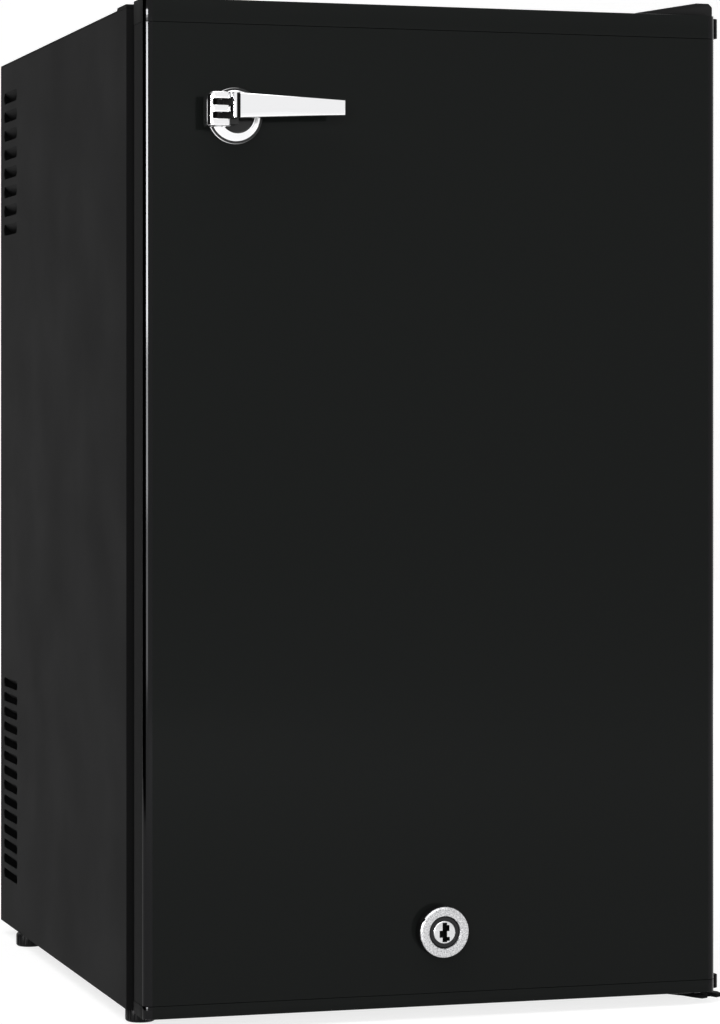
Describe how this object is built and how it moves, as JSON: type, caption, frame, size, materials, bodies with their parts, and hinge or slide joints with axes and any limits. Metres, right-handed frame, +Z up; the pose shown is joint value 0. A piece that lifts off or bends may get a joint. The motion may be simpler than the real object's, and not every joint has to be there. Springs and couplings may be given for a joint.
{
  "type": "minibar refrigerator",
  "caption": "Compact black absorption minibar with a right-hinged flat door, chrome lever handle, cam lock low on the door, louvred sides and an open back.",
  "frame": {"origin": "centre of the overall box at floor level, under the cabinet", "axes": "+Z up, -Y out of the door, +X towards the hinge side as seen from the front"},
  "size_m": [0.4095, 0.495, 0.676],
  "materials": {
    "black_paint": "satin black powder coat",
    "black_gloss": "smooth glossy black",
    "black_plastic": "fine satin moulding",
    "grey_plastic": "pale grey vacuum-formed sheet",
    "white_plastic": "satin white moulding",
    "clear_plastic": "clear glossy moulding",
    "foam": "rigid insulating foam",
    "gasket_rubber": "soft dark magnetic seal",
    "chrome": "bright chrome plate",
    "lock_metal": "satin nickel plate",
    "zinc_steel": "zinc-plated steel",
    "aluminium": "plain extruded aluminium",
    "white_wire": "white coated wire",
    "pipe_paint": "black painted steel pipe"
  },
  "bodies": {
    "cabinet": {"side_panel_left": "black_paint", "side_panel_right": "black_paint", "top_panel": "black_paint", "base_pan": "black_paint", "rear_panel": "zinc_steel", "insulation": "foam", "inner_liner": "grey_plastic", "rear_rail_bottom": "black_paint", "rear_rail_top": "black_paint", "shelf_lower": "white_wire", "shelf_upper": "white_wire", "evaporator": "aluminium", "drip_gutter": "grey_plastic", "control_housing": "white_plastic", "lamp_lens": "clear_plastic", "lock_strike": "zinc_steel", "boiler_jacket": "zinc_steel", "condenser": "pipe_paint", "cooling_pipe": "pipe_paint", "absorber_coil": "pipe_paint", "absorber_tank": "pipe_paint", "exchanger_pipe": "pipe_paint", "boiler_strap_lower": "zinc_steel", "boiler_strap_upper": "zinc_steel", "tank_saddle": "zinc_steel", "electrical_box": "black_plastic", "cable_gland": "black_plastic", "foot_front_left": "black_plastic", "foot_front_right": "black_plastic", "foot_rear_left": "black_plastic", "foot_rear_right": "black_plastic", "hinge_bracket_bottom": "black_paint", "hinge_pin_bottom": "zinc_steel", "hinge_plate_top": "black_paint", "hinge_pin_top": "zinc_steel", "hinge_cover": "black_plastic"},
    "door": {"door_skin": "black_gloss", "door_cap_bottom": "black_plastic", "door_cap_top": "black_plastic", "hinge_bush_bottom": "white_plastic", "hinge_bush_top": "white_plastic", "door_foam": "foam", "door_liner": "grey_plastic", "door_gasket": "gasket_rubber", "door_rack_lower": "clear_plastic", "door_rack_middle": "clear_plastic", "door_rack_upper": "clear_plastic", "handle_base": "chrome", "handle_pin": "zinc_steel", "lock_escutcheon": "lock_metal", "lock_barrel": "zinc_steel", "lock_nut": "zinc_steel"},
    "lever": {"handle_lever": "chrome"},
    "lock": {"lock_core": "lock_metal", "lock_cam": "zinc_steel"},
    "dial": {"thermostat_dial": "white_plastic"}
  },
  "joints": [
    {"name": "door_hinge", "type": "hinge", "parent": "cabinet", "child": "door", "pos_m": [0.19, -0.2015, 0.337], "axis": [0, 0, 1], "range_deg": [0, 120]},
    {"name": "handle_turn", "type": "hinge", "parent": "door", "child": "lever", "pos_m": [-0.1534, -0.2402, 0.596], "axis": [0, 0, -1], "range_deg": [0, 25], "stiffness_Nm_per_rad": 0.3},
    {"name": "lock_turn", "type": "hinge", "parent": "door", "child": "lock", "pos_m": [0.002, -0.2185, 0.058], "axis": [0, 1, 0], "range_deg": [0, 90]},
    {"name": "thermostat_turn", "type": "hinge", "parent": "cabinet", "child": "dial", "pos_m": [-0.045, -0.0315, 0.60856], "axis": [0, 1, 0], "range_deg": [0, 270]}
  ]
}
